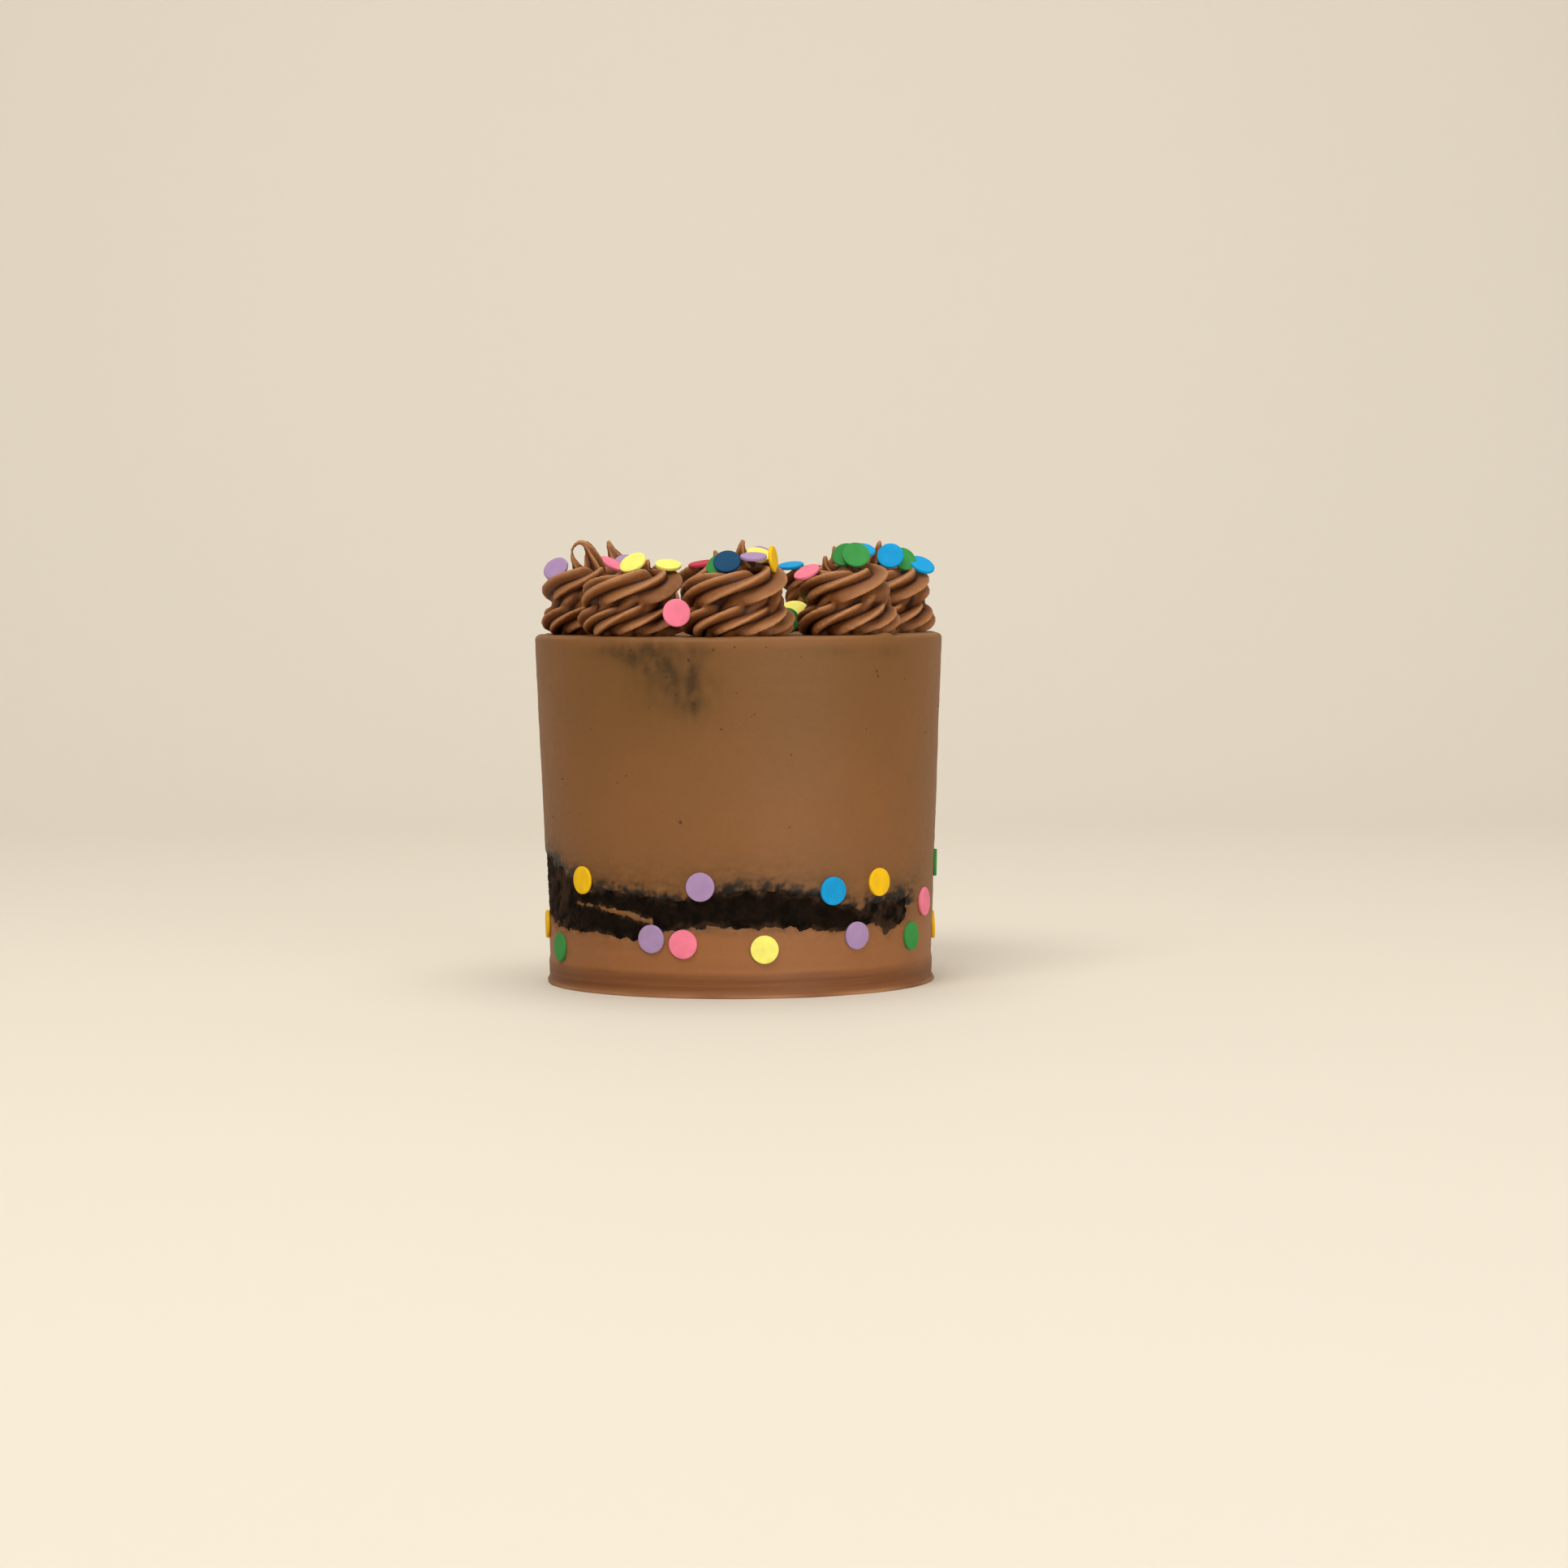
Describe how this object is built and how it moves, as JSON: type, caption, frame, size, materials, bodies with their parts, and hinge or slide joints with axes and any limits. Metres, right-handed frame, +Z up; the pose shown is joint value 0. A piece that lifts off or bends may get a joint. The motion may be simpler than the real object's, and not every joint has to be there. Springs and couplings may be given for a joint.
{
  "type": "layer cake",
  "caption": "Small round layer cake in smooth chocolate buttercream, a dark sponge layer showing round its side, piped rosettes on top and round sugar confetti.",
  "frame": {"origin": "middle of the underside, on the surface that the cake rests on", "axes": "+Z up through the middle of the cake, -Y towards the front that the picture shows, +X to the right seen from the front"},
  "size_m": [0.1228, 0.1236, 0.1342],
  "materials": {
    "buttercream": "satin",
    "sponge": "matte",
    "piped_buttercream": "satin",
    "confetti": "matte"
  },
  "bodies": {
    "root": {"cake_body": "buttercream", "sponge_layer": "sponge", "rosette_1": "piped_buttercream", "rosette_2": "piped_buttercream", "rosette_3": "piped_buttercream", "rosette_4": "piped_buttercream", "rosette_5": "piped_buttercream", "rosette_6": "piped_buttercream", "rosette_7": "piped_buttercream", "rosette_8": "piped_buttercream"}
  },
  "joints": []
}
